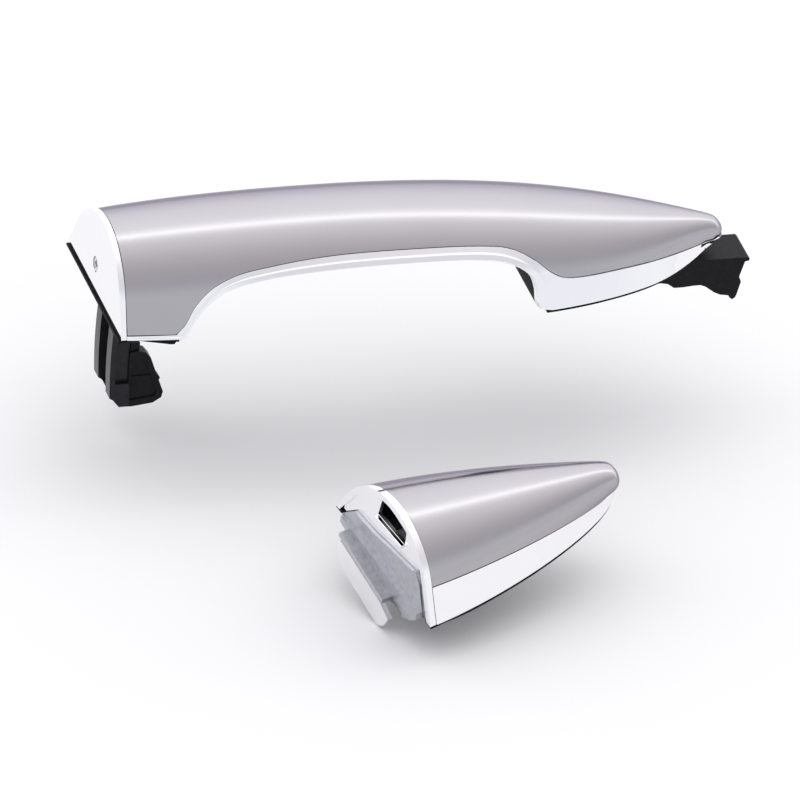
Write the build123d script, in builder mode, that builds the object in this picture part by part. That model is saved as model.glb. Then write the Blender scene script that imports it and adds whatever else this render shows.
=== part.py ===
from build123d import *
from math import sqrt
import os

os.makedirs("parts", exist_ok=True)

# Car door handle: a pull grip that hinges on a hooked arm at its front end, and a short
# end cap that covers the lock side.  +X runs along the grip from its flat rear end to the
# nose, +Z points out of the door.  z = 0 is the door skin and the underside of the gaskets.

GASKET_T = 0.7            # seal on the door skin under the grip's feet
RIM_Z = 1.0               # lower edge of the chrome trim
GRIP_LEN = 180.9          # flat end to nose
WIDEST_X = 62.0           # station of the full width
REAR_SPAN = 137.5         # taper length behind the widest station
HALF_W = 28.0             # half width at the widest station
CROWN_H = 25.2            # crown above the rim at the widest station
NOSE_H = 9.8              # crown above the rim at the nose
CREASE_H = 10.5           # height of the facet above the rim
CREASE_RATIO = 0.81       # crease half width over rim half width
SKIN_T = 2.0              # wall of the plated covers
PLATE_T = 1.5             # flat end plate
FIT = 0.1                 # gap between neighbouring trim pieces

PIVOT_X, PIVOT_Z = 182.9, -8.9    # hinge axis of the grip, along Y
NOSE_R = 1.3                      # hinge pin between the arm's cheeks
SHOE_R = 2.4                      # outside of the hinge shoe
RUN_FIT = 0.05                    # radial running clearance
ARM_W = 12.0
CHEEK_Y = 3.6                     # inner face of each cheek at the hinge

LEG_R_OUT, LEG_R_IN = 178.7, 173.1    # rear leg band, measured from the hinge axis
LEG_W = 15.0
LEG_TOP = 6.6
SCREW_Y, SCREW_Z = 2.0, 8.3           # end plate screw

CAP_LEN = 74.7
CAP_HALF_W = 25.5                     # half width of the cap's flat face
CAP_NOSE_H = 10.8                     # crown above the rim at the cap's nose
CAP_AT = (55.8, -99.8, -28.7)         # rim line of the loose cap's flat face
CAP_NOSE_DIR = (0.9632, 0.2565, 0.0805)   # its long axis as it lies beside the grip
CAP_OUT_DIR = (-0.0258, -0.2099, 0.9774)     # its outward direction
CAP_BOLT_R = 2.5                      # thread of the retaining bolt

# side profile of the finger loop's lower edge and of the joint between satin and bright
# trim, as (x, z) in the middle of the edge
LOOP_EDGE = [(18.2, 1.0), (20.3, 4.3), (25, 9.0), (31, 12.3), (42, 14.5), (58, 15.6), (80, 16.0),
             (103, 15.2), (113, 13.4), (118.6, 10.0), (120.0, 6.5)]
FRONT_HEEL = [(119.0, 3.8), (121.0, 2.0), (124.4, 0.9)]
SEAM_EDGE = [(15.6, 2.0), (18.2, 4.3), (21.4, 8.8), (26, 12.7), (33, 15.5), (44, 17.2), (60, 18.5),
             (80, 18.7), (103, 17.8), (113, 16.4), (120, 13.2), (124.6, 9.9), (128.5, 8.2),
             (148, 7.1), (170, 5.9), (184, 5.5)]


def station(x):
    u = (x - WIDEST_X) / (GRIP_LEN - WIDEST_X) if x > WIDEST_X else (WIDEST_X - x) / REAR_SPAN
    return max(0.0, min(u, 1.0))


def d_section(plane, b, h, crease, low, rim):
    """D shape: half width b at the rim height, flat facets, round crown, cut off at low."""
    yc = CREASE_RATIO * b
    b_low = b + (b - yc) * (rim - low) / (crease - rim)
    with BuildSketch(plane) as face:
        with BuildLine():
            Line((b_low, low), (yc, crease))
            ThreePointArc((yc, crease), (0, h), (-yc, crease))
            Line((-yc, crease), (-b_low, low))
            Line((-b_low, low), (b_low, low))
        make_face()
    return face.sketch


def bluntness(u):
    """Exponent of the plan outline; it falls towards the nose to round it off."""
    return 0.95 - 0.35 * (max(0.0, u - 0.95) / 0.05) ** 2


def body_section(x, inset, low):
    """Cross section of the grip at x, pulled in by inset."""
    shrink = (GRIP_LEN - WIDEST_X - 1.3 * inset) / (GRIP_LEN - WIDEST_X)
    u = station(WIDEST_X + (x - WIDEST_X) / shrink) if x > WIDEST_X else station(x)
    power = 3.7 if x > WIDEST_X else 3.0
    b = (HALF_W - 1.12 * inset) * (1 - u ** power) ** bluntness(u)
    h = RIM_Z + NOSE_H + (CROWN_H - NOSE_H) * (1 - u ** 2.15) - inset
    nose = max(0.0, (u - 0.93) / 0.07)
    h -= 0.9 * nose ** 3
    crease = RIM_Z + CREASE_H * (1 - 0.7 * u ** 2.2) - 0.43 * inset
    base = low + (4.2 * max(0.0, (u - 0.78) / 0.22) ** 2 if x > WIDEST_X else 0)
    crease = min(max(crease, base + 0.4), h - 0.5)
    return d_section(Plane.YZ.offset(x), b, h, crease, base, RIM_Z)


REAR_STATIONS = [0, 20, 42]
FRONT_U = [0, 0.14, 0.28, 0.42, 0.54, 0.65, 0.75, 0.83, 0.89, 0.93, 0.955, 0.972, 0.985, 0.994, 0.998]


def grip_envelope(inset, low, first=0.0):
    """Closed D-section spindle from x = first to the nose."""
    span = GRIP_LEN - WIDEST_X - 1.3 * inset
    xs = [first] + REAR_STATIONS[1:] + [WIDEST_X + span * u for u in FRONT_U]
    with BuildPart() as solid:
        loft(sections=[body_section(x, inset, low) for x in xs])
    return solid.part


def cap_envelope(inset, low, first=0.0):
    """The cap continues the same spindle behind the grip; it tapers along its own +X."""
    stretch = (CAP_LEN - 1.3 * inset) / CAP_LEN
    us = [0, 0.15, 0.3, 0.45, 0.58, 0.7, 0.8, 0.88, 0.94, 0.975, 0.992, 0.998]
    sections = []
    for i, t in enumerate(us):
        x = first if i == 0 else CAP_LEN * stretch * t
        t = max(x, 0) / (CAP_LEN * stretch)
        u = (WIDEST_X + CAP_LEN * t) / (WIDEST_X + CAP_LEN)
        b = (CAP_HALF_W - 1.12 * inset) * (1 - t ** 1.37) ** 0.66
        h = CAP_NOSE_H + (CROWN_H - CAP_NOSE_H) * (1 - u ** 2.15) - inset
        nose = max(0.0, (u - 0.93) / 0.07)
        h -= 0.9 * nose ** 3
        crease = CREASE_H * (1 - 0.7 * u ** 2.2) - 0.43 * inset
        base = low + 1.6 * nose ** 3
        crease = min(max(crease, base + 0.4), h - 0.5)
        sections.append(d_section(Plane.YZ.offset(x), b, h, crease, base, 0.0))
    with BuildPart() as solid:
        loft(sections=sections)
    return solid.part


def shifted(points, d):
    """Points moved by d to the left of the direction of travel."""
    out = []
    for i, (x, z) in enumerate(points):
        x0, z0 = points[max(i - 1, 0)]
        x1, z1 = points[min(i + 1, len(points) - 1)]
        n = sqrt((x1 - x0) ** 2 + (z1 - z0) ** 2)
        out.append((x - d * (z1 - z0) / n, z + d * (x1 - x0) / n))
    return out


def side_slab(draw, width=40.0):
    """Extrude a closed side-view outline, drawn in X and Z, across the grip."""
    with BuildPart() as slab:
        with BuildSketch(Plane.XZ):
            with BuildLine():
                draw()
            make_face()
        extrude(amount=width, both=True)
    return slab.part


def loop_void(lift):
    """Space under the finger loop, its upper edge moved up by lift."""
    edge = shifted(LOOP_EDGE, lift)
    heel = shifted(FRONT_HEEL, lift)
    low = -6.0

    def draw():
        top = Spline([(edge[0][0], edge[0][1])] + edge[1:])
        side = Polyline([edge[-1], heel[0], heel[1], heel[2]])
        Polyline([side @ 1, (heel[2][0], low), (edge[0][0], low), top @ 0])
    return side_slab(draw)


def above_seam(lift):
    edge = shifted(SEAM_EDGE, lift)

    def draw():
        seam = Spline(edge)
        Polyline([seam @ 1, (186, 40), (-6, 40), (-6, edge[0][1]), seam @ 0])
    return side_slab(draw)


def box(x0, x1, y0, y1, z0, z1):
    with BuildPart() as b:
        with Locations(((x0 + x1) / 2, (y0 + y1) / 2, (z0 + z1) / 2)):
            Box(x1 - x0, y1 - y0, z1 - z0)
    return b.part


def rod(start, direction, radius, length):
    with BuildPart() as r:
        with BuildSketch(Plane(origin=start, z_dir=direction)):
            Circle(radius)
        extrude(amount=length)
    return r.part


def side_prism(outline, y0, y1):
    """Straight-edged outline in X and Z, extruded from y0 to y1."""
    with BuildPart() as prism:
        with BuildSketch(Plane(origin=(0, y0, 0), x_dir=(1, 0, 0), z_dir=(0, -1, 0))):
            Polygon(*outline, align=None)
        extrude(amount=y0 - y1)
    return prism.part


def hinge_ring(r_out, r_in, y_half):
    """Tube about the hinge axis; r_in = 0 gives a plain cylinder."""
    with BuildPart() as ring:
        with BuildSketch(Plane(origin=(PIVOT_X, 0, PIVOT_Z), x_dir=(1, 0, 0), z_dir=(0, -1, 0))):
            Circle(r_out)
            if r_in > 0:
                Circle(r_in, mode=Mode.SUBTRACT)
        extrude(amount=y_half, both=True)
    return ring.part


def screws(spots, direction, head_r, head_t, shank_r, length, cross=True):
    """One group of identical screws, heads at the given spots, shanks along direction."""
    d = Vector(*direction)
    side = Vector(0, 1, 0)
    with BuildPart() as group:
        for spot in spots:
            at = Vector(*spot)
            add(rod(at, direction, head_r, head_t))
            add(rod(at + d * head_t, direction, shank_r, length))
            if cross:
                for x_dir in (side, side.cross(d)):
                    with BuildSketch(Plane(origin=at, x_dir=x_dir, z_dir=direction)):
                        Rectangle(1.3 * head_r, 0.26 * head_r)
                    extrude(amount=0.55 * head_t, mode=Mode.SUBTRACT)
    return group.part


outer = grip_envelope(0, RIM_Z, PLATE_T + FIT)
outer_low = grip_envelope(0.2, RIM_Z, PLATE_T + FIT)
inner = grip_envelope(SKIN_T, -2.0, -1.0)
under_loop = loop_void(0)

# ---------------------------------------------------------------- grip covers
with BuildPart() as grip_shell:
    add(outer_low)
    add(inner, mode=Mode.SUBTRACT)
    add(above_seam(FIT), mode=Mode.INTERSECT)
    add(under_loop, mode=Mode.SUBTRACT)
grip_shell.part.label = "grip_shell"

with BuildPart() as grip_bezel:
    add(outer)
    add(inner, mode=Mode.SUBTRACT)
    add(above_seam(0), mode=Mode.SUBTRACT)
    add(under_loop, mode=Mode.SUBTRACT)
grip_bezel.part.label = "grip_bezel"

# flat bright D plate over the rear end, with a countersunk seat for its screw
with BuildPart() as grip_end_plate:
    add(grip_envelope(0, RIM_Z))
    add(box(0, PLATE_T, -40, 40, -5, 40), mode=Mode.INTERSECT)
    add(rod((-1, SCREW_Y, SCREW_Z), (1, 0, 0), 2.25, 1.85), mode=Mode.SUBTRACT)
    add(rod((0, SCREW_Y, SCREW_Z), (1, 0, 0), 1.25, 3), mode=Mode.SUBTRACT)
grip_end_plate.part.label = "grip_end_plate"

with BuildPart() as end_plate_screw:
    add(screws([(0.25, SCREW_Y, SCREW_Z)], (1, 0, 0), 2.1, 0.6, 1.2, 6.4))
end_plate_screw.part.label = "end_plate_screw"

# ---------------------------------------------------------------- inside of the grip
inside = grip_envelope(SKIN_T + 0.3, -2.0, PLATE_T + FIT)
deep = grip_envelope(SKIN_T + 2.6, -2.0, 5.0)
arm_tenon = box(147.8, 165.2, -ARM_W / 2 - 0.1, ARM_W / 2 + 0.1, -9, 7.2)
leg_slot = box(3.9, 10.9, -LEG_W / 2 - 0.1, LEG_W / 2 + 0.1, -9, LEG_TOP + 0.2)
arm_screw_spots = [(152.0, 0, -5.8), (160.5, 0, -5.8)]
leg_screw_spots = [(2.6, -5.0, 4.7), (2.6, 5.0, 4.7)]

# black inner shell that closes the underside of the bar and the inner walls of both feet
with BuildPart() as grip_liner:
    add(grip_envelope(SKIN_T + FIT, RIM_Z, 2.0))
    add(loop_void(1.9), mode=Mode.INTERSECT)
    add(under_loop, mode=Mode.SUBTRACT)
    add(box(-5, 190, -40, 40, -10, RIM_Z + 0.2), mode=Mode.SUBTRACT)
grip_liner.part.label = "grip_liner"

# ribbed die-cast beam that carries the arm and the leg
with BuildPart() as grip_core:
    add(inside)
    add(box(-5, 190, -40, 40, -10, RIM_Z + 1.9), mode=Mode.SUBTRACT)
    add(loop_void(2.1), mode=Mode.SUBTRACT)
    add(deep, mode=Mode.SUBTRACT)
    ribs = [box(x - 0.9, x + 0.9, -40, 40, -5, 40) for x in (34, 52, 70, 88, 106, 134)]
    blocks = [box(4, 15, -11, 11, RIM_Z + 1.9, 20), box(144.5, 168.5, -8.5, 8.5, RIM_Z + 1.9, 14)]
    for piece in ribs + blocks:
        with BuildPart(mode=Mode.PRIVATE) as web:
            add(inside)
            add(piece, mode=Mode.INTERSECT)
            add(box(-5, 190, -40, 40, -10, RIM_Z + 1.9), mode=Mode.SUBTRACT)
            add(loop_void(2.1), mode=Mode.SUBTRACT)
        add(web.part)
    add(arm_tenon, mode=Mode.SUBTRACT)
    add(leg_slot, mode=Mode.SUBTRACT)
    add(rod((0, SCREW_Y, SCREW_Z), (1, 0, 0), 1.2, 8.2), mode=Mode.SUBTRACT)
    for x, y, z in leg_screw_spots:
        add(rod((x - 2, y, z), (1, 0, 0), 1.7, 4.0), mode=Mode.SUBTRACT)
        add(rod((x, y, z), (1, 0, 0), 1.0, 13.0), mode=Mode.SUBTRACT)
    for x, y, z in arm_screw_spots:
        add(rod((x, y, z), (0, 0, 1), 1.8, 18.0), mode=Mode.SUBTRACT)
grip_core.part.label = "grip_core"

# moulded plates that close the bottom of each foot
foot_fill = grip_envelope(SKIN_T + FIT, RIM_Z, 2.0)
with BuildPart() as front_base:
    add(foot_fill)
    add(box(121.0, 166.5, -40, 40, RIM_Z + 0.3, RIM_Z + 1.8), mode=Mode.INTERSECT)
    add(loop_void(2.0), mode=Mode.SUBTRACT)
    add(arm_tenon, mode=Mode.SUBTRACT)
front_base.part.label = "front_base"

with BuildPart() as rear_base:
    add(foot_fill)
    add(box(PLATE_T + 0.3, 19.0, -40, 40, RIM_Z + 0.3, RIM_Z + 1.8), mode=Mode.INTERSECT)
    add(loop_void(2.0), mode=Mode.SUBTRACT)
    add(leg_slot, mode=Mode.SUBTRACT)
rear_base.part.label = "rear_base"

# ---------------------------------------------------------------- front hinge arm
ARM_OUTLINE = [(148, 7), (165, 7), (165, 0.8), (187.4, 0.8), (187.9, 0.4), (187.9, -0.3),
               (186.7, -0.6), (185.6, -5.4), (186.3, -7.2), (185.5, -11.4), (185.1, -12.3),
               (184.4, -12.8), (183.7, -12.3), (183.1, -11.4), (180.7, -11.0), (178.8, -10.1),
               (176.2, -8.1), (174.6, -7.4), (172.5, -7.4), (169.4, -7.7), (166.8, -7.7),
               (164.9, -6.3), (163, -5.9), (148, -5.9)]
with BuildPart() as pivot_arm:
    add(side_prism(ARM_OUTLINE, ARM_W / 2, -ARM_W / 2))
    # fork around the shoe, with the hinge pin across it
    add(hinge_ring(SHOE_R + 0.4, 0, CHEEK_Y), mode=Mode.SUBTRACT)
    add(hinge_ring(NOSE_R, 0, ARM_W / 2 - 1.0))
    for x, y, z in arm_screw_spots:
        add(rod((x, y, z - 2), (0, 0, 1), 3.2, 4.0), mode=Mode.SUBTRACT)
        add(rod((x, y, z), (0, 0, 1), 1.8, 18.0), mode=Mode.SUBTRACT)
    # moulding pockets in both cheeks
    for y in (ARM_W / 2, -ARM_W / 2):
        add(box(152, 164.5, y - 0.9, y + 0.9, -4.6, -0.6), mode=Mode.SUBTRACT)
pivot_arm.part.label = "pivot_arm"

with BuildPart() as arm_screws:
    add(screws(arm_screw_spots, (0, 0, 1), 3.1, 1.9, 1.8, 13.5))
arm_screws.part.label = "arm_screws"

# open bearing shoe between the cheeks: it snaps over the hinge pin
with BuildPart() as pivot_shoe:
    add(hinge_ring(SHOE_R, NOSE_R + RUN_FIT, CHEEK_Y - 0.4))
    mouth = [(PIVOT_X, PIVOT_Z), (PIVOT_X + 2, PIVOT_Z + 9), (PIVOT_X - 9, PIVOT_Z + 9),
             (PIVOT_X - 9, PIVOT_Z - 1)]
    add(side_prism(mouth, 10, -10), mode=Mode.SUBTRACT)
pivot_shoe.part.label = "pivot_shoe"

# ---------------------------------------------------------------- rear leg
def leg_band(r_out, r_in, top, bottom, y0, y1):
    """Curved slab about the hinge axis between two heights."""
    with BuildPart() as band:
        add(hinge_ring(r_out, r_in, 30))
        add(box(-2, 30, min(y0, y1), max(y0, y1), bottom, top), mode=Mode.INTERSECT)
    return band.part


FOOT_OUTLINE = [(9.8, -15.8), (12.0, -15.2), (14.6, -16.0), (16.2, -17.8), (18.7, -23.9),
                (20.9, -29.1), (20.6, -31.0), (18.3, -32.6), (12.1, -33.4), (9.8, -33.0)]
with BuildPart() as rear_leg:
    add(leg_band(LEG_R_OUT, LEG_R_IN, LEG_TOP, -33.0, -LEG_W / 2, LEG_W / 2))
    # long channel in the outer face, leaving a rib along each side
    add(leg_band(LEG_R_OUT + 2, LEG_R_OUT - 2.6, -1.0, -31.0, -3.6, 3.4), mode=Mode.SUBTRACT)
    # relief in the near cheek above the block that carries the foot
    add(leg_band(LEG_R_OUT - 1.6, LEG_R_IN - 2, -3.0, -25.5, -LEG_W / 2 - 1, -LEG_W / 2 + 1.3),
        mode=Mode.SUBTRACT)
    add(side_prism([(3, -28.6), (3, -36), (11, -36), (8.6, -33.2), (6.4, -30.6)], 20, -20),
        mode=Mode.SUBTRACT)
    for x, y, z in leg_screw_spots:
        add(rod((x, y, z), (1, 0, 0), 1.0, 13.0), mode=Mode.SUBTRACT)
rear_leg.part.label = "rear_leg"

# operating foot: a flat cam plate with a raised rim and a stiffening rib, on the leg's near side
with BuildPart() as leg_foot:
    add(side_prism(FOOT_OUTLINE, -3.4, -6.6))
    inner_outline = [(11.2, -17.4), (13.8, -17.6), (15.0, -19.0), (19.0, -29.2), (18.6, -30.4),
                     (11.2, -31.4)]
    with BuildSketch(Plane(origin=(0, -6.6, 0), x_dir=(1, 0, 0), z_dir=(0, -1, 0))):
        Polygon(*FOOT_OUTLINE, align=None)
        Polygon(*inner_outline, align=None, mode=Mode.SUBTRACT)
    extrude(amount=0.4)
    add(side_prism([(10.6, -23.6), (18.2, -23.4), (18.4, -24.2), (10.6, -24.6)], -6.6, -6.9))
    add(side_prism([(18.6, -23.4), (19.7, -24.8), (19.3, -25.6)], -4.0, -6.6))
    add(hinge_ring(LEG_R_OUT + 5, LEG_R_IN, 30), mode=Mode.SUBTRACT)
    with Locations((11.4, -5.2, -14.6)):
        Box(2.6, 2.6, 3.4)
leg_foot.part.label = "leg_foot"

with BuildPart() as leg_screws:
    add(screws(leg_screw_spots, (1, 0, 0), 1.6, 1.2, 1.0, 9.5))
leg_screws.part.label = "leg_screws"

# rubber stop on the underside of the rear foot
with BuildPart() as rear_stop:
    with BuildSketch(Plane.XY.offset(RIM_Z + 0.3)):
        with Locations((12.5, 14.5), (12.5, -14.5)):
            SlotOverall(6.5, 3.0)
    extrude(amount=-1.2)
rear_stop.part.label = "rear_stop"

# ---------------------------------------------------------------- door-side pieces
def gasket(first, last, inset, width):
    """Flat U-shaped seal under the rim between two stations."""
    with BuildPart() as seal:
        add(grip_envelope(inset, 0.0, -0.6))
        add(box(first, last, -40, 40, 0, GASKET_T), mode=Mode.INTERSECT)
        add(grip_envelope(inset + width, -3.0, -2.0), mode=Mode.SUBTRACT)
    return seal.part


with BuildPart() as front_gasket:
    add(gasket(123.0, 168.0, 0.9, 2.6))
    add(box(121.2, 125.0, -20.5, 20.5, 0, GASKET_T - 0.1))
front_gasket.part.label = "front_gasket"

with BuildPart() as rear_gasket:
    add(gasket(-0.6, 16.4, 0.6, 4.0))
    add(box(-0.6, 2.4, -25.0, 25.0, 0, GASKET_T))
    # turned-down lips that catch the edge of the door opening
    for y in (-1, 1):
        add(side_prism([(5.0, 0), (16.4, 0), (16.4, -1.2), (15.9, -2.0), (15.0, -2.0)],
                       y * 24.6, y * 22.6))
rear_gasket.part.label = "rear_gasket"

# ---------------------------------------------------------------- end cap, in its own frame
def cap_seam(lift):
    pts = []
    for x in (-2, 6, 16, 28, 40, 52, 62, 70, 80):
        u = min((WIDEST_X + max(x, 0)) / (WIDEST_X + CAP_LEN), 1)
        pts.append((x, CREASE_H * (1 - 0.7 * u ** 2.2) + 0.5))
    pts = shifted(pts, lift)

    def draw():
        seam = Spline(pts)
        Polyline([seam @ 1, (pts[-1][0], 40), (pts[0][0], 40), seam @ 0])
    return side_slab(draw)


cap_outer = cap_envelope(0, 0, 2.2)
cap_outer_low = cap_envelope(0.2, 0, 2.2)
cap_inner = cap_envelope(SKIN_T, -3.0, -1.0)

with BuildPart() as cap_shell:
    add(cap_outer_low)
    add(cap_inner, mode=Mode.SUBTRACT)
    add(cap_seam(FIT), mode=Mode.INTERSECT)
cap_shell.part.label = "cap_shell"

with BuildPart() as cap_bezel:
    add(cap_outer)
    add(cap_inner, mode=Mode.SUBTRACT)
    add(cap_seam(0), mode=Mode.SUBTRACT)
cap_bezel.part.label = "cap_bezel"

# face frame: raised rim, recessed field, key window with a ledge along its lower edge
WINDOW = [(-6.4, 13.6), (-6.0, 18.0), (0.4, 18.9), (7.0, 19.2), (7.6, 12.6)]
BRACKET = [(-21.8, 0.0), (-20.4, 3.4), (-17.6, 9.2), (-14.7, 11.6), (-13.2, 10.6), (-5.6, 9.1),
           (-1.0, 8.3), (6.6, 6.7), (12.8, 6.0), (16.8, 5.6), (21.6, 0.6), (21.8, 0.0)]


with BuildPart() as cap_face_plate:
    add(cap_envelope(0, 0))
    add(box(0, 2.2 - FIT, -40, 40, -5, 40), mode=Mode.INTERSECT)
    with BuildPart(mode=Mode.PRIVATE) as field:
        add(cap_envelope(1.8, -2.0, -1.0))
        add(box(-1, 1.0, -40, 40, -5, 40), mode=Mode.INTERSECT)
    add(field.part, mode=Mode.SUBTRACT)
    with BuildSketch(Plane.YZ):
        Polygon(*WINDOW, align=None)
    extrude(amount=4, both=True, mode=Mode.SUBTRACT)
    with BuildSketch(Plane.YZ):
        Polygon(*BRACKET, align=None)
    extrude(amount=4, both=True, mode=Mode.SUBTRACT)
cap_face_plate.part.label = "cap_face_plate"

LOWER_WEB = [(20.2, 0.9), (-20.4, 0.9), (-20.3, -1.5), (-18.1, -3.7), (-14.1, -6.0), (-12.0, -4.8),
             (-8.0, -5.4), (16.0, -1.8), (20.0, -1.2)]
TONGUE = [(16.0, -0.4), (-8.0, -4.0), (-8.0, -5.4), (16.0, -1.8)]

# die-cast bracket: web in the face, ridge, and a tongue that tucks behind the grip's flat end
with BuildPart() as cap_bracket:
    with BuildSketch(Plane.YZ.offset(-0.2)):
        Polygon(*[(0.985 * y, 0.985 * z) for y, z in BRACKET], align=None)
    extrude(amount=6.0)
    add(cap_envelope(3.4, -2.0, -1.0), mode=Mode.INTERSECT)
    with BuildSketch(Plane.YZ.offset(-0.2)):
        Polygon(*[(0.985 * y, 0.985 * z) for y, z in BRACKET], align=None)
    extrude(amount=2.2)
    with BuildSketch(Plane.YZ.offset(-1.5)):
        Polygon(*LOWER_WEB, align=None)
    extrude(amount=1.6)
    with BuildSketch(Plane.YZ.offset(-4.2)):
        Polygon(*TONGUE, align=None)
    extrude(amount=3.0)
    add(box(-0.9, -0.1, -20.5, 20.5, 0.3, 1.3))
    add(box(5.7, 14.0, -7.0, 7.0, 1.0, 4.0))
    add(box(5.7, 14.0, -1.2, 1.2, 3.9, 6.6))
    for y in (-13.0, 13.0):
        add(rod((1.8, y, 4.6), (1, 0, 0), 1.2, 8.0), mode=Mode.SUBTRACT)
cap_bracket.part.label = "cap_bracket"

# plated hook plate under the tongue
with BuildPart() as cap_lug:
    with BuildSketch(Plane.YZ.offset(-4.6)):
        Polygon((14.6, -2.1), (13.7, -9.4), (-8.2, -13.4), (-11.1, -11.3), (-12.6, -7.4), (-7.9, -5.5),
                align=None)
    extrude(amount=1.5)
    with BuildSketch(Plane.YZ.offset(-4.6)):
        Polygon((13.0, -2.35), (-7.4, -5.4), (-7.4, -6.6), (13.0, -3.6), align=None)
    extrude(amount=4.4)
cap_lug.part.label = "cap_lug"

# black frame inside the cap; carries the bracket and the retaining nut
with BuildPart() as cap_frame:
    add(cap_envelope(SKIN_T + 0.35, -2.0, 1.0))
    add(box(6.2, 57.0, -40, 40, 0.3, 6.9), mode=Mode.INTERSECT)
    with BuildSketch(Plane.XY.offset(-1)):
        Polygon((12, -15.0), (34, -10.8), (34, 10.8), (12, 15.0), align=None)
        with Locations((9.0, 0)):
            Rectangle(8.0, 18.0)
    extrude(amount=12, mode=Mode.SUBTRACT)
    add(box(50.0, 58.0, -2.8, 2.8, -1, 5.9), mode=Mode.SUBTRACT)
    add(rod((42.0, 0, 0.3), (0, 0, 1), 6.0, 10.5))
    add(rod((42.0, 0, -1.0), (0, 0, 1), 4.0, 11.0), mode=Mode.SUBTRACT)
    for y in (-13.0, 13.0):
        add(rod((4.0, y, 4.6), (1, 0, 0), 1.2, 9.0), mode=Mode.SUBTRACT)
cap_frame.part.label = "cap_frame"

with BuildPart() as cap_insert:
    add(rod((42.0, 0, 0.0), (0, 0, 1), 3.9, 9.6))
    add(rod((42.0, 0, -0.1), (0, 0, 1), CAP_BOLT_R, 9.0), mode=Mode.SUBTRACT)
cap_insert.part.label = "cap_insert"

with BuildPart() as bracket_screws:
    add(screws([(13.1, -13.0, 4.6), (13.1, 13.0, 4.6)], (-1, 0, 0), 1.5, 1.0, 1.2, 9.6))
bracket_screws.part.label = "bracket_screws"

# spring clip that snaps the cap's nose to the door
with BuildPart() as cap_clip:
    add(side_prism([(50.2, 5.9), (56.2, 5.9), (56.2, 5.1), (51, 5.1), (51, -3.4), (52.6, -5.4),
                    (52.1, -6.0), (50.2, -4.0)], 2.4, -2.4))
    add(side_prism([(55.4, 5.2), (56.2, 5.2), (56.2, -4.0), (54.3, -6.0), (53.8, -5.4),
                    (55.4, -3.4)], 2.4, -2.4))
cap_clip.part.label = "cap_clip"

with BuildPart() as cap_gasket:
    add(cap_envelope(0.5, -1.6, 0.4))
    add(box(0.4, 71.0, -40, 40, -1.0, -0.05), mode=Mode.INTERSECT)
    add(cap_envelope(2.8, -3.0, -2.0), mode=Mode.SUBTRACT)
cap_gasket.part.label = "cap_gasket"

# ---------------------------------------------------------------- export
grip_nodes = [grip_shell, grip_bezel, grip_end_plate, end_plate_screw, grip_liner, grip_core,
              front_base, rear_base, pivot_arm, arm_screws, rear_leg, leg_foot, leg_screws,
              rear_stop, front_gasket, rear_gasket, pivot_shoe]
cap_nodes = [cap_shell, cap_bezel, cap_face_plate, cap_bracket, cap_lug, cap_frame, cap_insert,
             bracket_screws, cap_clip, cap_gasket]
cap_place = Plane(origin=CAP_AT, x_dir=CAP_NOSE_DIR, z_dir=CAP_OUT_DIR).location

for node in grip_nodes:
    export_step(node.part, "parts/" + node.part.label + ".step")
for node in cap_nodes:
    placed = node.part.moved(cap_place)
    placed.label = node.part.label
    export_step(placed, "parts/" + placed.label + ".step")
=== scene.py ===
import bmesh
import bpy
import math
from mathutils import Matrix, Vector


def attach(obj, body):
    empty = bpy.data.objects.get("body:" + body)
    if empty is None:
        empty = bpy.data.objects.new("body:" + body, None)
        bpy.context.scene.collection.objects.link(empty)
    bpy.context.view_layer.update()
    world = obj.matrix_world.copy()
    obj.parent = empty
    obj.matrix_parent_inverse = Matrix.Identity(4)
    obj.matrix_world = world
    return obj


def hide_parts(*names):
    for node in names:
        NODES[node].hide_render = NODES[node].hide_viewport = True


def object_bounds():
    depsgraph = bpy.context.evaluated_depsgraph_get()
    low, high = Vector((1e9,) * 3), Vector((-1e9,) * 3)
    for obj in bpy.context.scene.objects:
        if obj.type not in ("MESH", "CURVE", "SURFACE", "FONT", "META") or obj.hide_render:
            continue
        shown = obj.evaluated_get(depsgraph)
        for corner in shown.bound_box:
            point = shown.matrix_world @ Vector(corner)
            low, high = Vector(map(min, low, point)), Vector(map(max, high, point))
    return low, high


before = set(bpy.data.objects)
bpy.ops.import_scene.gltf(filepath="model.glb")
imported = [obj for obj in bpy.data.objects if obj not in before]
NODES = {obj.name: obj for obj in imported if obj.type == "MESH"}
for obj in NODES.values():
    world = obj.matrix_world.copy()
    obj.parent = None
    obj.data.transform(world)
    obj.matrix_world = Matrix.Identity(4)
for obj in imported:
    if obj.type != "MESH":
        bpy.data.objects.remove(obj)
cad_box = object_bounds()
MM = 0.001

# ------------------------------------------------------------------ materials
MATS = {}


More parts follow.
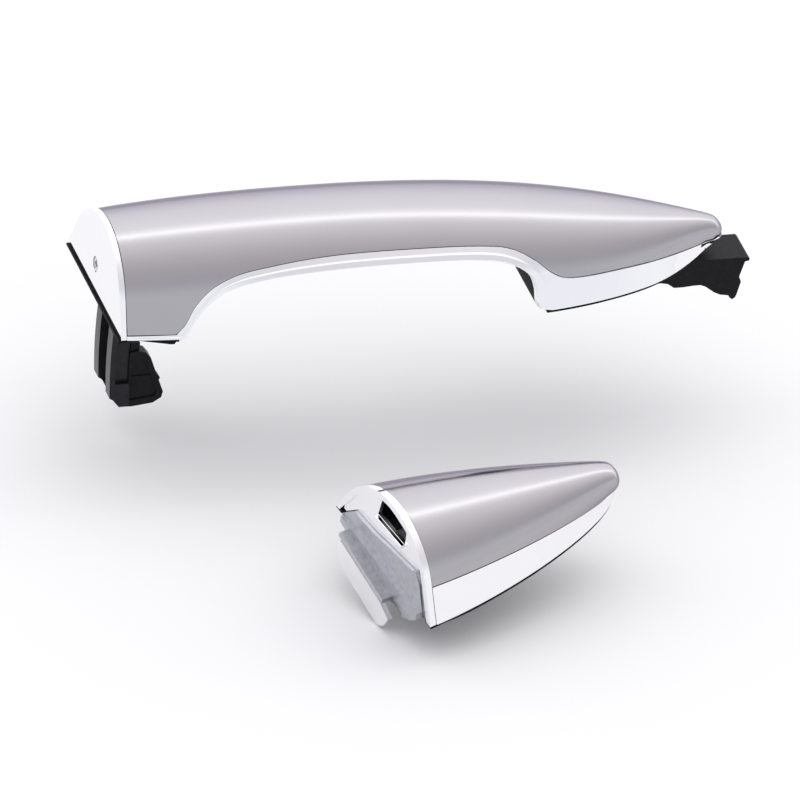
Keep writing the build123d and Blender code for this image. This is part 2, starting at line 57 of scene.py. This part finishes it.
def material(name, color, rough, metallic, noise, bump, tint=(0.9, 1.06), ior=1.5, edge=None):
    """Procedural surface: noise is (scale, roughness swing), bump is (scale, strength), tint is the
    colour's darkest and lightest share, edge tints the reflection at grazing angles."""
    m = bpy.data.materials.new(name)
    m.use_nodes = True
    nt = m.node_tree
    nd, ln = nt.nodes, nt.links
    bsdf = nd["Principled BSDF"]
    bsdf.inputs["Metallic"].default_value = metallic
    bsdf.inputs["IOR"].default_value = ior
    if edge:
        bsdf.inputs["Specular Tint"].default_value = (*edge, 1)
    co = nd.new("ShaderNodeTexCoord")
    n1 = nd.new("ShaderNodeTexNoise")
    n1.inputs["Scale"].default_value = noise[0]
    n1.inputs["Detail"].default_value = 4.0
    ln.new(co.outputs["Object"], n1.inputs["Vector"])
    ramp = nd.new("ShaderNodeValToRGB")
    ramp.color_ramp.elements[0].position = 0.3
    ramp.color_ramp.elements[1].position = 0.7
    ramp.color_ramp.elements[0].color = [c * tint[0] for c in color] + [1]
    ramp.color_ramp.elements[1].color = [min(1, c * tint[1]) for c in color] + [1]
    ln.new(n1.outputs["Fac"], ramp.inputs["Fac"])
    ln.new(ramp.outputs["Color"], bsdf.inputs["Base Color"])
    rr = nd.new("ShaderNodeMapRange")
    rr.inputs["To Min"].default_value = max(0.0, rough - noise[1])
    rr.inputs["To Max"].default_value = rough + noise[1]
    ln.new(n1.outputs["Fac"], rr.inputs["Value"])
    ln.new(rr.outputs["Result"], bsdf.inputs["Roughness"])
    if bump[1] > 0:
        n2 = nd.new("ShaderNodeTexNoise")
        n2.inputs["Scale"].default_value = bump[0]
        n2.inputs["Detail"].default_value = 3.0
        ln.new(co.outputs["Object"], n2.inputs["Vector"])
        bp = nd.new("ShaderNodeBump")
        bp.inputs["Strength"].default_value = bump[1]
        bp.inputs["Distance"].default_value = 0.0002
        ln.new(n2.outputs["Fac"], bp.inputs["Height"])
        ln.new(bp.outputs["Normal"], bsdf.inputs["Normal"])
    MATS[name] = m


METAL, PLASTIC = 1.0, 0.0
material("satin_chrome", (0.425, 0.415, 0.435), 0.16, METAL, noise=(60.0, 0.004), bump=(0, 0),
         tint=(0.99, 1.01), edge=(0.50, 0.47, 0.55))
material("bright_chrome", (0.90, 0.90, 0.92), 0.045, METAL, noise=(300.0, 0.01), bump=(0, 0),
         tint=(0.99, 1.0))
material("gloss_black", (0.004, 0.004, 0.005), 0.22, PLASTIC, noise=(500.0, 0.03),
         bump=(700.0, 0.02), ior=1.06)
material("matte_black", (0.009, 0.009, 0.011), 0.40, PLASTIC, noise=(700.0, 0.06),
         bump=(2600.0, 0.12), tint=(0.75, 1.3), ior=1.19)
material("leg_black", (0.016, 0.015, 0.018), 0.22, PLASTIC, noise=(500.0, 0.05),
         bump=(1800.0, 0.06), tint=(0.8, 1.25), ior=1.27)
material("rubber_black", (0.007, 0.007, 0.008), 0.6, PLASTIC, noise=(900.0, 0.05),
         bump=(2200.0, 0.2), tint=(0.7, 1.3), ior=1.17)
material("diecast", (0.47, 0.475, 0.51), 0.30, METAL, noise=(700.0, 0.06), bump=(1100.0, 0.22),
         tint=(0.88, 1.08))
material("screw_steel", (0.62, 0.60, 0.60), 0.26, METAL, noise=(1500.0, 0.06), bump=(3000.0, 0.06))
material("plated_lug", (0.90, 0.895, 0.91), 0.10, METAL, noise=(300.0, 0.03), bump=(300.0, 0.03),
         tint=(0.96, 1.0))
material("brass_insert", (0.78, 0.60, 0.28), 0.25, METAL, noise=(1200.0, 0.06), bump=(2500.0, 0.08))
material("spring_steel", (0.42, 0.42, 0.44), 0.3, METAL, noise=(1200.0, 0.06), bump=(2500.0, 0.05))

NODE_MATERIAL = {
    "grip_end_plate": "bright_chrome", "end_plate_screw": "screw_steel", "grip_core": "diecast",
    "front_base": "matte_black", "rear_base": "matte_black", "pivot_arm": "matte_black",
    "arm_screws": "screw_steel", "rear_leg": "leg_black", "leg_foot": "matte_black",
    "leg_screws": "screw_steel", "rear_stop": "rubber_black", "front_gasket": "rubber_black",
    "rear_gasket": "rubber_black", "pivot_shoe": "matte_black", "cap_face_plate": "bright_chrome",
    "cap_bracket": "diecast", "cap_lug": "plated_lug", "cap_frame": "matte_black",
    "cap_insert": "brass_insert", "bracket_screws": "screw_steel", "cap_clip": "spring_steel",
    "cap_gasket": "rubber_black",
    "grip_shell": "satin_chrome", "grip_bezel": "bright_chrome", "grip_liner": "gloss_black",
    "cap_shell": "satin_chrome", "cap_bezel": "bright_chrome",
}
BEVEL = {"grip_end_plate": 0.30, "cap_face_plate": 0.30, "pivot_arm": 0.35, "rear_leg": 0.3,
         "leg_foot": 0.35, "cap_bracket": 0.3, "cap_lug": 0.35, "end_plate_screw": 0.12,
         "front_gasket": 0.2, "rear_gasket": 0.25, "pivot_shoe": 0.15, "cap_gasket": 0.2}


def finish_edges(o, width):
    """Rounded edges with clean shading."""
    b = o.modifiers.new("edge", "BEVEL")
    b.width = width * MM
    b.segments = 3
    b.limit_method = "ANGLE"
    b.angle_limit = math.radians(28)
    b.use_clamp_overlap = True
    w = o.modifiers.new("weight", "WEIGHTED_NORMAL")
    w.keep_sharp = False
    w.weight = 60


for name, mat in NODE_MATERIAL.items():
    o = NODES[name]
    o.data.materials.clear()
    o.data.materials.append(MATS[mat])
    if name in BEVEL:
        finish_edges(o, BEVEL[name])


# ------------------------------------------------------------------ the two tapered bodies
# Both bodies are D-sections lofted along the length, in millimetres, as in the part's source.
RIM_Z = 1.0               # lower edge of the trim
GRIP_LEN = 180.9          # flat end to nose
WIDEST_X = 62.0           # station of the full width
REAR_SPAN = 137.5         # taper length behind the widest station
HALF_W = 28.0             # half width at the widest station
CROWN_H = 25.2            # crown above the rim at the widest station
NOSE_H = 9.8              # crown above the rim at the nose
CREASE_H = 10.5           # height of the flat side facet above the rim
CREASE_RATIO = 0.81       # crease half width over rim half width
TIP_Z = 6.2               # height above the rim at which the grip's nose closes
CAP_LEN = 74.7
CAP_HALF_W = 25.5         # half width of the cap's flat face
CAP_NOSE_H = 10.8         # crown above the rim at the cap's nose
CAP_TIP_Z = 5.2           # height above the rim at which the cap's nose closes
SIDE_PULL = 1.12          # how much an inset of 1 mm takes off the half width
CREASE_PULL = 0.43        # and off the crease height
NOSE_PULL = 1.3           # and off the length
LOOP_EDGE = [(18.2, 1.0), (20.3, 4.3), (25, 9.0), (31, 12.3), (42, 14.5), (58, 15.6), (80, 16.0),
             (103, 15.2), (113, 13.4), (118.6, 10.0), (120.0, 6.5)]
FRONT_HEEL = [(119.8, 5.0), (119.9, 3.7), (120.6, 2.4), (122.0, 1.5), (124.4, 1.0)]
SEAM_EDGE = [(15.6, 2.0), (18.2, 4.3), (21.4, 8.8), (26, 12.7), (33, 15.5), (44, 17.2), (60, 18.5),
             (80, 18.7), (103, 17.8), (113, 16.4), (120, 13.2), (124.6, 9.9), (128.5, 8.2),
             (148, 7.1), (170, 5.9), (184, 5.5)]


def close_nose(b, h, c, base, u, mid, rim):
    """Round the section off towards a point at height mid over the last bit of the taper."""
    f = math.sqrt(max(0.0, 1 - (max(0.0, u - 0.975) / 0.025) ** 2.2))
    h, c, base = mid + (h - mid) * f, mid + (c - mid) * f, mid + (base - mid) * f
    c = min(max(c, base + 0.3 * f), h - 0.3 * f - 1e-6)
    return b, h + rim, c + rim, base + rim


def crown_above_rim(u, nose_h, inset):
    return nose_h + (CROWN_H - nose_h) * (1 - u ** 2.15) - inset


def crease_above_rim(u, inset):
    return CREASE_H * (1 - 0.7 * u ** 2.2) - CREASE_PULL * inset


def nose_share(u):
    """0 along the body, 1 at the tip of the nose."""
    return max(0.0, (u - 0.93) / 0.07) ** 3


def grip_dims(x, inset=0.0):
    """(half width at the rim, crown height, crease height, base height) at a station of the grip."""
    full = HALF_W - SIDE_PULL * inset
    if x > WIDEST_X:
        u = min((x - WIDEST_X) / (GRIP_LEN - WIDEST_X - NOSE_PULL * inset), 1.0)
        blunt = 0.95 - 0.35 * (max(0.0, u - 0.95) / 0.05) ** 2
        b = full * max(1e-9, 1 - u ** 3.7) ** blunt
        h = crown_above_rim(u, NOSE_H, inset) - 0.9 * nose_share(u)
        base = 4.2 * max(0.0, (u - 0.78) / 0.22) ** 2
        return close_nose(b, h, crease_above_rim(u, inset), base, u, TIP_Z, RIM_Z)
    u = (WIDEST_X - x) / REAR_SPAN
    b = full * (1 - u ** 3.0) ** 0.95
    return b, RIM_Z + crown_above_rim(u, NOSE_H, inset), RIM_Z + crease_above_rim(u, inset), RIM_Z


def cap_dims(x, inset=0.0):
    """The same four sizes at a station of the cap, measured from its own rim."""
    t = min(max(x, 0.0) / (CAP_LEN - NOSE_PULL * inset), 1.0)
    u = (WIDEST_X + CAP_LEN * t) / (WIDEST_X + CAP_LEN)
    b = (CAP_HALF_W - SIDE_PULL * inset) * max(1e-9, 1 - t ** 1.37) ** 0.66
    h = crown_above_rim(u, CAP_NOSE_H, inset) - 0.9 * nose_share(u)
    return close_nose(b, h, crease_above_rim(u, inset), 1.6 * nose_share(u), u, CAP_TIP_Z, 0.0)


def half_y(dims, z, rim):
    """Half width of the section at height z: flat up to the crease, then round."""
    b, h, c, base = dims
    if b < 1e-6:
        return 0.0
    yc = CREASE_RATIO * b
    if z <= c:
        return b + (yc - b) * (z - rim) / max(c - rim, 1e-6)
    s = h - c
    r = (yc * yc + s * s) / (2 * s)
    cz = h - r
    return math.sqrt(max(0.0, r * r - (z - cz) ** 2))


def spread(path, n):
    """n + 1 points evenly spaced along a path."""
    d = [0.0]
    for p, q in zip(path, path[1:]):
        d.append(d[-1] + math.dist(p, q))
    out, j = [], 0
    for i in range(n + 1):
        t = d[-1] * i / n
        while j < len(d) - 2 and d[j + 1] < t:
            j += 1
        k = 0 if d[j + 1] == d[j] else (t - d[j]) / (d[j + 1] - d[j])
        (x0, y0), (x1, y1) = path[j], path[j + 1]
        out.append((x0 + (x1 - x0) * k, y0 + (y1 - y0) * k))
    return out


def arch_points(dims, z0, rim, n):
    """Half section from height z0 up to the crown, n + 1 points evenly spaced along it."""
    b, h, c, base = dims
    yc = CREASE_RATIO * b
    s = max(h - c, 1e-6)
    r = (yc * yc + s * s) / (2 * s)
    cz = h - r
    pts = []
    if z0 < c:
        for i in range(12):
            z = z0 + (c - z0) * i / 12
            pts.append((half_y(dims, z, rim), z))
    a0 = math.atan2(max(z0, c) - cz, half_y(dims, max(z0, c), rim) if z0 > c else yc)
    for i in range(61):
        a = a0 + (math.pi / 2 - a0) * i / 60
        pts.append((r * math.cos(a), cz + r * math.sin(a)))
    pts[-1] = (0.0, h)
    return spread(pts, n)


def curve(points, n):
    """Smooth curve through the points (centripetal Catmull-Rom), n + 1 samples evenly along it."""
    P = [Vector((p[0], p[1])) for p in points]
    P = [2 * P[0] - P[1]] + P + [2 * P[-1] - P[-2]]
    fine = []
    for i in range(1, len(P) - 2):
        p0, p1, p2, p3 = P[i - 1:i + 3]
        t = [0.0]
        for a, b in ((p0, p1), (p1, p2), (p2, p3)):
            t.append(t[-1] + max((b - a).length, 1e-6) ** 0.5)
        for k in range(16):
            s = t[1] + (t[2] - t[1]) * k / 16
            a1 = p0 * ((t[1] - s) / (t[1] - t[0])) + p1 * ((s - t[0]) / (t[1] - t[0]))
            a2 = p1 * ((t[2] - s) / (t[2] - t[1])) + p2 * ((s - t[1]) / (t[2] - t[1]))
            a3 = p2 * ((t[3] - s) / (t[3] - t[2])) + p3 * ((s - t[2]) / (t[3] - t[2]))
            b1 = a1 * ((t[2] - s) / (t[2] - t[0])) + a2 * ((s - t[0]) / (t[2] - t[0]))
            b2 = a2 * ((t[3] - s) / (t[3] - t[1])) + a3 * ((s - t[1]) / (t[3] - t[1]))
            fine.append(b1 * ((t[2] - s) / (t[2] - t[1])) + b2 * ((s - t[1]) / (t[2] - t[1])))
    fine.append(P[-2])
    return spread([(q.x, q.y) for q in fine], n)


def height_on(path, x):
    """Height of a left-to-right path at x."""
    if x <= path[0][0]:
        return path[0][1]
    for (x0, z0), (x1, z1) in zip(path, path[1:]):
        if x <= x1:
            return z0 + (z1 - z0) * (x - x0) / (x1 - x0)
    return path[-1][1]


def mesh_object(name, verts, faces, mat, smooth):
    """Mesh from points in metres, in the scene."""
    me = bpy.data.meshes.new(name)
    me.from_pydata(verts, [], faces)
    me.validate()
    me.materials.append(mat)
    o = bpy.data.objects.new(name, me)
    bpy.context.scene.collection.objects.link(o)
    for p in me.polygons:
        p.use_smooth = smooth
    return o


def grid_object(name, rows, mat, place=None):
    """Quad mesh from rows of points in millimetres."""
    verts, faces = [], []
    n = len(rows[0])
    for row in rows:
        for p in row:
            v = Vector(p) * MM
            verts.append(place @ v if place else v)
    for i in range(len(rows) - 1):
        for j in range(n - 1):
            a = i * n + j
            faces.append((a, a + 1, a + n + 1, a + n))
    return mesh_object(name, verts, faces, MATS[mat], True)


def thicken(o, t, width, weights=None):
    """Wall of thickness t inward, with rounded edges; weights thin it at the nose."""
    s = o.modifiers.new("wall", "SOLIDIFY")
    if weights:
        g = o.vertex_groups.new(name="wall")
        for v in o.data.vertices:
            g.add([v.index], weights(v.co), "REPLACE")
        s.vertex_group = "wall"
        s.thickness_vertex_group = 0.02
    s.thickness = t * MM
    s.offset = -1.0
    s.use_even_offset = False
    b = o.modifiers.new("edge", "BEVEL")
    b.width = width * MM
    b.segments = 3
    b.limit_method = "ANGLE"
    b.angle_limit = math.radians(45)
    w = o.modifiers.new("weight", "WEIGHTED_NORMAL")
    w.keep_sharp = False
    w.weight = 40


def weld_and_orient(o, away_from):
    """Merge doubled points and turn the faces away from a point inside the piece."""
    bm = bmesh.new()
    bm.from_mesh(o.data)
    bmesh.ops.remove_doubles(bm, verts=bm.verts, dist=2e-6)
    bmesh.ops.dissolve_degenerate(bm, dist=1e-7, edges=bm.edges)
    bm.normal_update()
    total = 0.0
    for f in bm.faces:
        total += f.normal.dot(f.calc_center_median() - Vector(away_from)) * f.calc_area()
    if total < 0:
        bmesh.ops.reverse_faces(bm, faces=bm.faces)
    bm.to_mesh(o.data)
    bm.free()
    for p in o.data.polygons:
        p.use_smooth = True


def stations(first, last, n, nose=30):
    """Stations along the taper, closer together at the nose."""
    body = [first + (last * 0.955 - first) * i / n for i in range(n)]
    tip = [last * 0.955 + last * 0.045 * math.sin(math.pi / 2 * i / nose) for i in range(nose + 1)]
    return body + tip


# where the cap lies: its rim line at the flat face, its long axis and its outward direction
CAP_AT = Vector((55.8, -99.8, -28.7))
OUT = Vector((-0.0258, -0.2099, 0.9774)).normalized()
ALONG = Vector((0.9632, 0.2565, 0.0805))
ALONG = (ALONG - ALONG.dot(OUT) * OUT).normalized()
ACROSS = OUT.cross(ALONG)
CAP = Matrix.Translation(CAP_AT * MM) @ Matrix((ALONG, ACROSS, OUT)).transposed().to_4x4()

# ------------------------------------------------------------------ covers
SEAM = curve(SEAM_EDGE, 400)
SEAM_GAP = 0.16           # joint line between crown and trim
SEAM_SHARE = 0.62         # highest the seam may lie, as a share of the section's height
CROWN_WALL, TRIM_WALL = 1.7, 1.8
CROWN_EDGE, TRIM_EDGE = 0.12, 0.15
CROWN_INSET = 0.2         # the crown sits this far inside the trim
CROWN_START = 1.85        # rear end of the grip's crown, in front of the end plate
TRIM_START = 1.62         # rear end of the grip's trim
CAP_START = 2.2           # rear end of the cap's crown and trim, in front of the face plate
NOSE_SEAM_X = 170         # SEAM_SHARE limits the grip's seam from here on
FULL_WALL_B = 12.0        # half width from which the covers have their full wall
GRIP_INSIDE = (0.09, 0, 0.0)              # a point inside the grip, in metres
CAP_INSIDE = CAP @ Vector((0.03, 0, 0))   # and one inside the cap


def seam_z(x, dims):
    """Height of the seam between the grip's crown and trim."""
    z = height_on(SEAM, x)
    if x > NOSE_SEAM_X:
        z = min(z, dims[3] + (dims[1] - dims[3]) * SEAM_SHARE)
    return z


def cap_seam_z(dims):
    """Height of the cap's seam, just above its crease."""
    return min(dims[2] + 0.5, dims[3] + (dims[1] - dims[3]) * SEAM_SHARE)


def wall_share(half_width):
    """Wall as a share of the full one: thinner where the nose closes."""
    return min(1.0, max(0.05, half_width / FULL_WALL_B))


def grip_wall(co):
    return wall_share(grip_dims(co.x / MM)[0])


def cap_wall(co):
    return wall_share(cap_dims((co / MM - CAP.translation / MM).dot(ALONG))[0])


def grip_crown_foot(x, dims):
    """Height at which the grip's crown starts."""
    return min(max(seam_z(x, dims) + SEAM_GAP, dims[3]), dims[1] - 1e-3)


def cap_crown_foot(x, dims):
    return cap_seam_z(dims) + SEAM_GAP


def add_crown(name, xs, dims_of, foot_of, rim, inside, wall, place=None):
    """Satin crown: one row per station, from one foot over the top to the other."""
    rows = []
    for x in xs:
        d = dims_of(x, CROWN_INSET)
        half = arch_points(d, foot_of(x, d), rim, 44)
        rows.append([(x, -y, z) for y, z in half] + [(x, y, z) for y, z in reversed(half[:-1])])
    o = grid_object(name, rows, "satin_chrome", place)
    weld_and_orient(o, inside)
    thicken(o, CROWN_WALL, CROWN_EDGE, wall)
    return o


# across the trim: (share of the way from lower edge to seam, how far it stands out)
BAND = [(0.0, 0.0), (0.04, 0.0), (0.40, 0.0), (0.46, -0.02), (0.50, -0.12), (0.54, -0.22),
        (0.60, -0.24), (0.97, -0.24), (1.0, -0.24)]


def trim_row(low, high, side, dims_of, rim, step):
    """One row across the trim, from its lower edge up to the seam; step scales BAND's depth."""
    row = []
    for k, out in BAND:
        x = low[0] + (high[0] - low[0]) * k
        z = low[1] + (high[1] - low[1]) * k
        d = dims_of(x, -out * step)
        z = min(max(z, d[3]), d[1])
        row.append((x, side * half_y(d, z, rim), z))
    return row


def add_trim(name, edges, dims_of, step_of, rim, inside, wall, place=None):
    """Bright trim: out along the near side and back along the far side of (lower, upper) edges."""
    near = [trim_row(low, high, -1, dims_of, rim, step_of(high[0])) for low, high in edges]
    far = [trim_row(low, high, 1, dims_of, rim, step_of(high[0])) for low, high in edges]
    o = grid_object(name, near + far[::-1][1:], "bright_chrome", place)
    weld_and_orient(o, inside)
    thicken(o, TRIM_WALL, TRIM_EDGE, wall)
    return o


crown = add_crown("grip_crown", stations(CROWN_START, GRIP_LEN, 230), grip_dims, grip_crown_foot,
                  RIM_Z, GRIP_INSIDE, grip_wall)

# bright trim: from the rear end along the rim, round the loop, along the front foot to the nose
HEEL_TOP = 121.5                          # the seam's stretch above the heel starts here
HEEL_END, SEAM_HEEL_END = 124.4, 128.5    # where the heel runs out into the front foot
LOW = (curve([(TRIM_START, RIM_Z), (17.6, RIM_Z)], 24)
       + curve(LOOP_EDGE[:-1] + [(119.8, 6.5)] + FRONT_HEEL, 280))
HIGH = (curve([(TRIM_START, SEAM_EDGE[0][1]), SEAM_EDGE[0]], 24)
        + spread([p for p in SEAM if p[0] <= HEEL_TOP], 240)
        + spread([p for p in SEAM if HEEL_TOP <= p[0] <= SEAM_HEEL_END], 40)[1:])
STEP_IN, STEP_OUT = (3.0, 17.0), (116.0, 126.0)
for x in stations(0, GRIP_LEN, 200):
    if x > SEAM_HEEL_END + 0.3:
        share = (x - SEAM_HEEL_END) / (GRIP_LEN - SEAM_HEEL_END)
        xl = HEEL_END + (GRIP_LEN - HEEL_END) * share
        LOW.append((xl, grip_dims(xl)[3]))
        HIGH.append((x, seam_z(x, grip_dims(x))))


def rise(x, ends):
    """0 up to the first end, 1 from the second on."""
    return min(1.0, max(0.0, (x - ends[0]) / (ends[1] - ends[0])))


def grip_step(x):
    """Depth of the step in the trim: it grows in on the rear foot and fades out at the heel."""
    return rise(x, STEP_IN) * (1.0 - rise(x, STEP_OUT))


def no_step(x):
    return 0.0


trim = add_trim("grip_trim", list(zip(LOW, HIGH)), grip_dims, grip_step, RIM_Z, GRIP_INSIDE, grip_wall)

# glossy liner under the bar and down the inner walls of the feet
LINER_INSET = 2.0         # inside the trim
LINER_LIFT = 0.7          # above the loop's lower edge
LINER_WALL = 1.4
path = ([(18.0, 1.3)] + curve([(18.3, 1.3)] + LOOP_EDGE[1:], 200)[1:]
        + [(120.0, 4.6), (120.0, 3.0), (120.1, 1.3)])
rows = []
for x, z in path:
    w = half_y(grip_dims(x, LINER_INSET), z, RIM_Z)
    rows.append([(x, w * j / 12, z + LINER_LIFT) for j in range(-12, 13)])
liner = grid_object("loop_liner", rows, "gloss_black")
weld_and_orient(liner, (0.07, 0, 0.05))
thicken(liner, LINER_WALL, TRIM_EDGE)

# ------------------------------------------------------------------ end cap
cap_xs = stations(CAP_START, CAP_LEN, 110)
cap_crown = add_crown("cap_crown", cap_xs, cap_dims, cap_crown_foot, 0.0, CAP_INSIDE, cap_wall, CAP)
cap_edges = [((x, cap_dims(x)[3]), (x, cap_seam_z(cap_dims(x)))) for x in cap_xs]
cap_trim = add_trim("cap_trim", cap_edges, cap_dims, no_step, 0.0, CAP_INSIDE, cap_wall, CAP)

# bright ledge under the window of the cap's face
LEDGE_FAR, LEDGE_NEAR = (7.6, 12.5), (-6.4, 13.5)    # its two ends, across and above the rim
LEDGE_DEPTH = (-0.2, 1.9)                            # from just behind the face into the cap
LEDGE_T = 0.9
corners = [(x, y, z - drop) for x in LEDGE_DEPTH for y, z in (LEDGE_FAR, LEDGE_NEAR)
           for drop in (0, LEDGE_T)]
sides = [(0, 1, 3, 2), (4, 6, 7, 5), (0, 4, 5, 1), (2, 3, 7, 6), (0, 2, 6, 4), (1, 5, 7, 3)]
ledge = mesh_object("face_ledge", [CAP @ (Vector(c) * MM) for c in corners], sides,
                    MATS["bright_chrome"], False)
weld_and_orient(ledge, CAP @ (Vector((0.85, 0.6, 12.5)) * MM))
for p in ledge.data.polygons:
    p.use_smooth = False
finish_edges(ledge, 0.2)
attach(ledge, "cap")

for piece, body, node, slot in (
        (crown, "grip", "grip_shell", "satin_chrome"), (trim, "grip", "grip_bezel", "bright_chrome"),
        (liner, "grip", "grip_liner", "gloss_black"), (cap_crown, "cap", "cap_shell", "satin_chrome"),
        (cap_trim, "cap", "cap_bezel", "bright_chrome")):
    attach(piece, body)
    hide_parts(node)

# ------------------------------------------------------------------ floor, light and camera
scene = bpy.context.scene
scene.view_settings.view_transform = "Standard"
FLOOR_GAP, FLOOR_HALF = 0.0002, 4.0
FLOOR_Z = min(cad_box[0][2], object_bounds()[0][2]) - FLOOR_GAP
fm = bpy.data.materials.new("floor_white")
fm.use_nodes = True
fb = fm.node_tree.nodes["Principled BSDF"]
fb.inputs["Base Color"].default_value = (0.76, 0.76, 0.77, 1)
fb.inputs["Roughness"].default_value = 0.7
corners = [(x * FLOOR_HALF, y * FLOOR_HALF, FLOOR_Z) for x, y in ((-1, -1), (1, -1), (1, 1), (-1, 1))]
floor = mesh_object("floor", corners, [(0, 1, 2, 3)], fm, False)

world = bpy.data.worlds.new("studio")
scene.world = world
world.use_nodes = True
wn, wl = world.node_tree.nodes, world.node_tree.links
bg = wn["Background"]
tc = wn.new("ShaderNodeTexCoord")
sep = wn.new("ShaderNodeSeparateXYZ")
wl.new(tc.outputs["Generated"], sep.inputs["Vector"])


def wmath(op, a, b):
    """Math node of the world's tree."""
    n = wn.new("ShaderNodeMath")
    n.operation = op
    for i, v in enumerate((a, b)):
        if isinstance(v, float):
            n.inputs[i].default_value = v
        else:
            wl.new(v, n.inputs[i])
    return n.outputs[0]


# light tent seen as an arc from the front horizon (0) over the top (0.5) to the back (1)
towards_front = wmath("MULTIPLY", sep.outputs["Y"], -1.0)
arc = wmath("DIVIDE", wmath("ARCTAN2", sep.outputs["Z"], towards_front), math.pi)
wr = wn.new("ShaderNodeValToRGB")
wr.color_ramp.interpolation = "B_SPLINE"
TENT = [(0.0, (0.95, 0.96, 0.98)), (0.08, (1.00, 1.01, 1.03)), (0.14, (0.93, 0.94, 0.99)),
        (0.20, (0.74, 0.74, 0.79)), (0.30, (0.80, 0.78, 0.80)), (0.42, (1.05, 1.02, 1.04)),
        (0.53, (1.40, 1.38, 1.39)), (0.58, (1.6, 1.6, 1.6)), (0.603, (3.0, 3.0, 3.0)),
        (0.63, (1.9, 1.9, 1.9)), (0.68, (1.60, 1.60, 1.62)), (0.85, (1.62, 1.62, 1.65)),
        (1.0, (1.4, 1.4, 1.42))]
TENT_POWER = 4.0          # a ramp clamps its colours at 1, so the strength carries the rest
stops = wr.color_ramp.elements
stops[0].color, stops[1].color = [[v / TENT_POWER for v in TENT[i][1]] + [1] for i in (0, -1)]
for p, c in TENT[1:-1]:
    stops.new(p).color = [v / TENT_POWER for v in c] + [1]
wl.new(arc, wr.inputs["Fac"])
wl.new(wr.outputs["Color"], bg.inputs["Color"])
bg.inputs["Strength"].default_value = TENT_POWER

RIGHT = Vector((0.9497, -0.2928, 0.1114)).normalized()
UP = Vector((0.0686, 0.5411, 0.8381))
UP = (UP - UP.dot(RIGHT) * RIGHT).normalized()
BACK = RIGHT.cross(UP)
VIEW_SPAN = 0.219178      # width of the picture at the object, in metres
LENS, SENSOR = 1200.0, 36.0
REAR_AT_LEFT, REAR_AT_TOP = 0.08364, 0.0300    # the rear end's distance from the picture's middle
centre = Vector((0, 0, RIM_Z * MM)) + RIGHT * REAR_AT_LEFT - UP * REAR_AT_TOP
cam_data = bpy.data.cameras.new("camera")
cam_data.lens = LENS
cam_data.sensor_width = SENSOR
cam_data.clip_start = 1.0
cam_data.clip_end = 60.0
cam = bpy.data.objects.new("camera", cam_data)
dist = VIEW_SPAN * LENS / SENSOR
turn = Matrix((RIGHT, UP, BACK)).transposed().to_4x4()
cam.matrix_world = Matrix.Translation(centre + BACK * dist) @ turn
scene.collection.objects.link(cam)
scene.camera = cam
